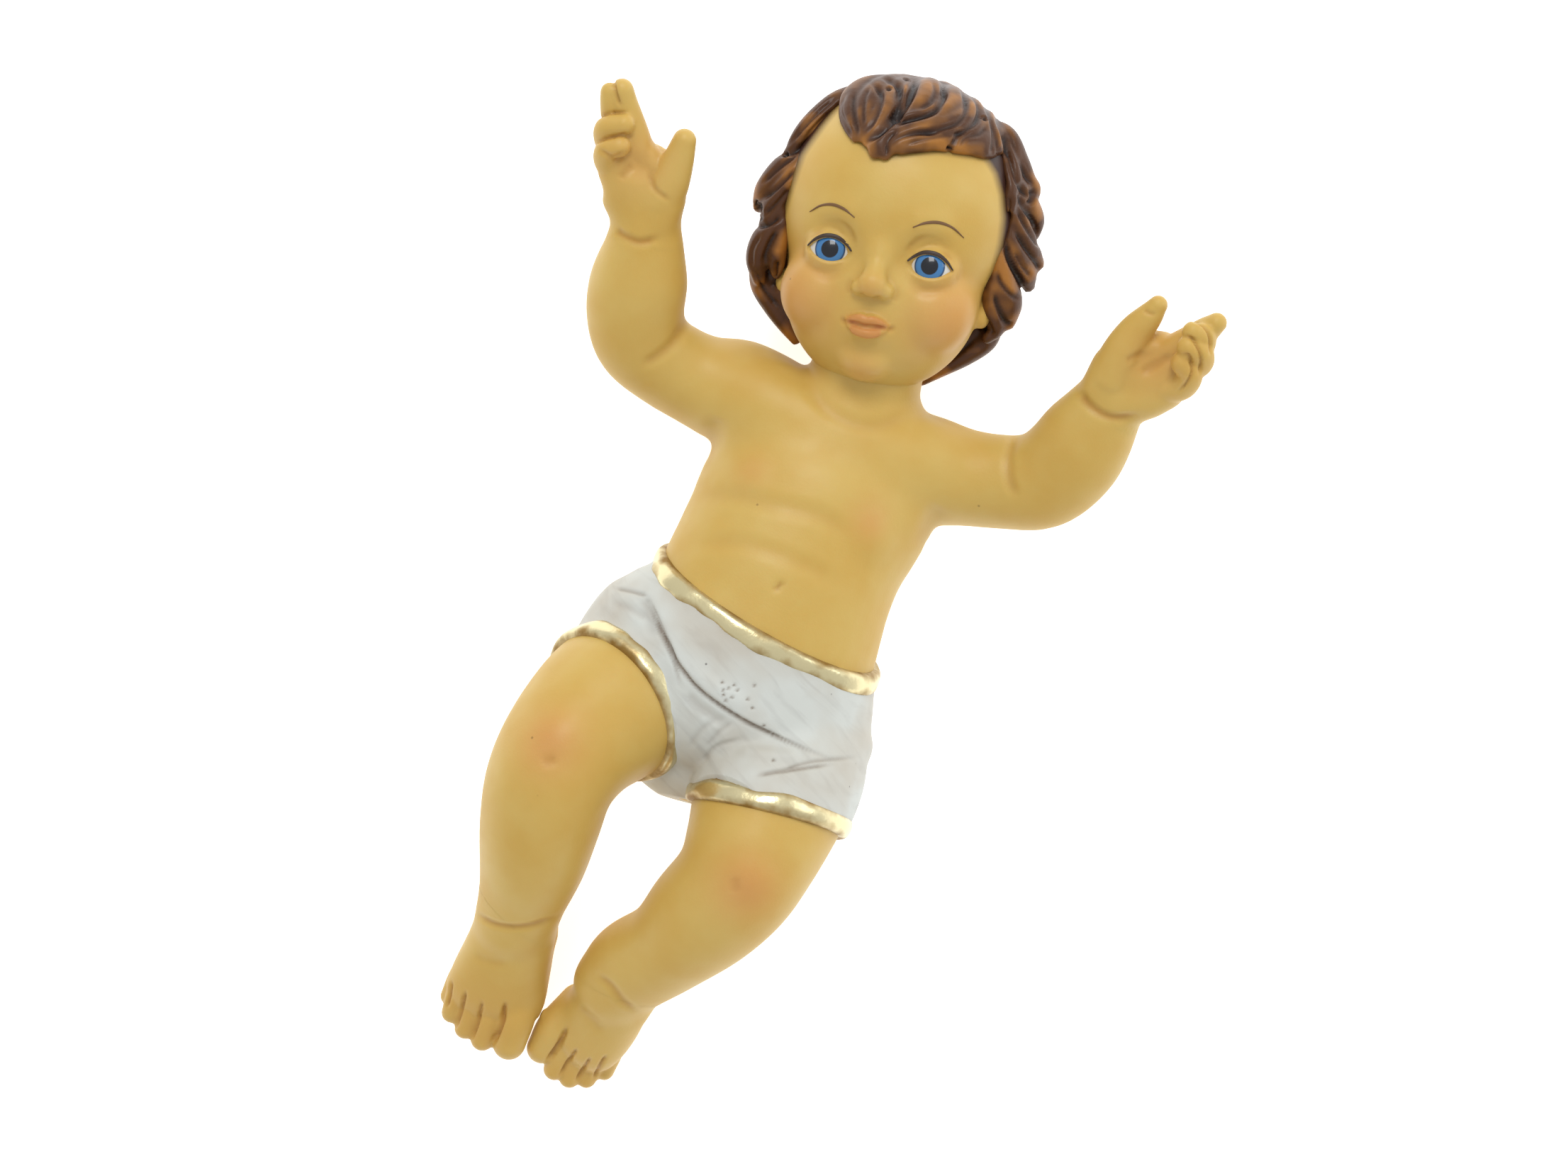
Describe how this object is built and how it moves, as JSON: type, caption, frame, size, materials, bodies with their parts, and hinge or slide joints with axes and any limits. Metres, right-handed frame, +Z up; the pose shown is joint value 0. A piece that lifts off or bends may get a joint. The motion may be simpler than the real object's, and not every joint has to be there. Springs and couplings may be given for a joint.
{
  "type": "nativity infant figurine",
  "caption": "Painted cast resin figurine of a baby lying on its back with open raised arms, wavy carved hair and short drawers with gilt borders.",
  "frame": {"origin": "on the flat resting spot of the back, under the ribs, in the plane of the surface that the figure lies on", "axes": "+Z up, out of the chest and face; +Y along the spine towards the head; +X towards the figure's own left arm"},
  "size_m": [0.116, 0.2001, 0.051],
  "materials": {
    "painted_resin": "satin"
  },
  "bodies": {
    "root": {"figurine": "painted_resin"}
  },
  "joints": []
}
